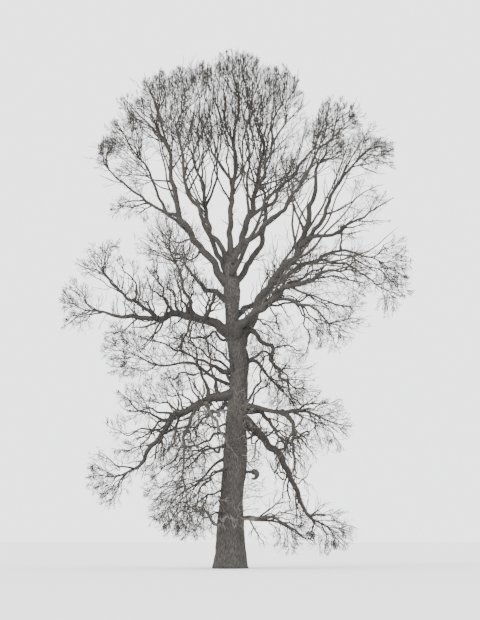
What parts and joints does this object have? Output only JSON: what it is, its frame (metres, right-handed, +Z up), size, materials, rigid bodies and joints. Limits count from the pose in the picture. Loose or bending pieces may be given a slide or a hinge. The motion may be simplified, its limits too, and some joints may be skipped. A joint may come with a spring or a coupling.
{
  "type": "bare oak tree",
  "caption": "Leafless old parkland oak tree: flared trunk cut flat at ground level, forking leaders, long arched and hanging boughs, and open masses of fine twigs.",
  "frame": {"origin": "centre of the trunk's flat cut foot, at ground level", "axes": "+Z up the trunk, +X to the tree's right as pictured, +Y away from the camera, to its far side"},
  "size_m": [19.6923, 16.7423, 28.6],
  "materials": {
    "trunk_bark": "rough, furrowed grey-brown bark",
    "bough_bark": "rough, darker grey-brown bark",
    "twig_bark": "matt grey-brown twigs"
  },
  "bodies": {
    "root": {"back_left_bough": "bough_bark", "back_left_leader": "bough_bark", "back_left_leader_twigs": "twig_bark", "back_left_twigs": "twig_bark", "back_low_bough": "bough_bark", "back_low_twigs": "twig_bark", "back_right_bough": "bough_bark", "back_right_leader": "bough_bark", "back_right_leader_twigs": "twig_bark", "back_right_twigs": "twig_bark", "front_high_bough": "bough_bark", "front_high_twigs": "twig_bark", "front_left_bough": "bough_bark", "front_left_leader": "bough_bark", "front_left_leader_twigs": "twig_bark", "front_left_twigs": "twig_bark", "front_right_bough": "bough_bark", "front_right_branch": "bough_bark", "front_right_low_twigs": "twig_bark", "front_right_twigs": "twig_bark", "left_foot_twigs": "twig_bark", "left_fork_bough": "bough_bark", "left_fork_twigs": "twig_bark", "left_hanging_bough": "bough_bark", "left_hanging_twigs": "twig_bark", "left_leader": "bough_bark", "left_leader_twigs": "twig_bark", "left_long_bough": "bough_bark", "left_long_twigs": "twig_bark", "left_low_bough": "bough_bark", "left_low_twigs": "twig_bark", "left_rising_bough": "bough_bark", "left_rising_twigs": "twig_bark", "left_thin_twigs": "twig_bark", "left_upper_bough": "bough_bark", "left_upper_twigs": "twig_bark", "middle_leader": "bough_bark", "middle_leader_twigs": "twig_bark", "right_arch_bough": "bough_bark", "right_arch_twigs": "twig_bark", "right_chain_twigs": "twig_bark", "right_drooping_bough": "bough_bark", "right_drooping_twigs": "twig_bark", "right_foot_twigs": "twig_bark", "right_hanging_bough": "bough_bark", "right_hanging_twigs": "twig_bark", "right_high_fork": "bough_bark", "right_high_twigs": "twig_bark", "right_inner_bough": "bough_bark", "right_inner_twigs": "twig_bark", "right_leader": "bough_bark", "right_leader_twigs": "twig_bark", "right_low_twigs": "twig_bark", "right_middle_leader": "bough_bark", "right_middle_leader_twigs": "twig_bark", "right_outer_bough": "bough_bark", "right_outer_twigs": "twig_bark", "right_upper_bough": "bough_bark", "right_upper_twigs": "twig_bark", "trunk": "trunk_bark"}
  },
  "joints": []
}
